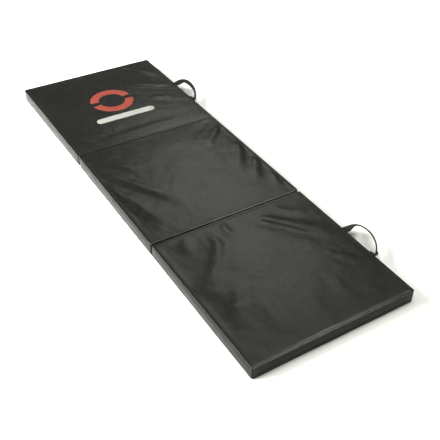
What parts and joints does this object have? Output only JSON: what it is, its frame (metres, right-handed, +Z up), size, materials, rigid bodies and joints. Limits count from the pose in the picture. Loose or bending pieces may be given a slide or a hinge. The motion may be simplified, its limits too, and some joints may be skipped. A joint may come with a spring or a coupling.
{
  "type": "folding gym mat",
  "caption": "Long padded exercise mat of vinyl covered foam panels that folds flat in a Z, with a webbing carry loop on each end panel.",
  "frame": {"origin": "centre of the flat underside of the middle panel, which is also the centre of the whole mat's underside when it lies open", "axes": "+Z up; +Y along the mat's length, from the foot panel to the head panel; +X across the mat, towards the side with the handles"},
  "size_m": [0.6991, 1.83, 0.048],
  "materials": {
    "foam": "matt closed-cell foam",
    "cover_vinyl": "semi-gloss grained vinyl",
    "side_vinyl": "semi-gloss grained vinyl",
    "base_vinyl": "matt grained vinyl",
    "welt_vinyl": "glossy vinyl piping",
    "webbing": "woven webbing"
  },
  "bodies": {
    "head_panel": {"head_foam_core": "foam", "head_top_sheet": "cover_vinyl", "head_base_sheet": "base_vinyl", "head_left_band": "side_vinyl", "head_right_band": "side_vinyl", "head_far_band": "side_vinyl", "head_near_band": "side_vinyl", "head_top_welt": "welt_vinyl", "head_base_welt": "welt_vinyl", "top_fold_seam": "welt_vinyl", "head_handle_far_tail": "webbing", "head_handle_near_tail": "webbing"},
    "middle_panel": {"middle_foam_core": "foam", "middle_top_sheet": "cover_vinyl", "middle_base_sheet": "base_vinyl", "middle_left_band": "side_vinyl", "middle_right_band": "side_vinyl", "middle_far_band": "side_vinyl", "middle_near_band": "side_vinyl", "middle_top_welt": "welt_vinyl", "middle_base_welt": "welt_vinyl", "base_fold_seam": "welt_vinyl"},
    "foot_panel": {"foot_foam_core": "foam", "foot_top_sheet": "cover_vinyl", "foot_base_sheet": "base_vinyl", "foot_left_band": "side_vinyl", "foot_right_band": "side_vinyl", "foot_far_band": "side_vinyl", "foot_near_band": "side_vinyl", "foot_top_welt": "welt_vinyl", "foot_base_welt": "welt_vinyl", "foot_handle_far_tail": "webbing", "foot_handle_near_tail": "webbing"},
    "head_strap": {"head_handle": "webbing"},
    "foot_strap": {"foot_handle": "webbing"}
  },
  "joints": [
    {"name": "top_fold", "type": "hinge", "parent": "head_panel", "child": "middle_panel", "pos_m": [0, 0.306, 0.04815], "axis": [-1, 0, 0], "range_deg": [0, 176]},
    {"name": "base_fold", "type": "hinge", "parent": "middle_panel", "child": "foot_panel", "pos_m": [0, -0.306, -0.00015], "axis": [1, 0, 0], "range_deg": [0, 179]},
    {"name": "head_handle_swing", "type": "hinge", "parent": "head_panel", "child": "head_strap", "pos_m": [0.3056, 0.564, 0.0478], "axis": [0, -1, 0], "range_deg": [-8, 90]},
    {"name": "foot_handle_swing", "type": "hinge", "parent": "foot_panel", "child": "foot_strap", "pos_m": [0.3056, -0.641, 0.0478], "axis": [0, -1, 0], "range_deg": [-8, 90]}
  ]
}
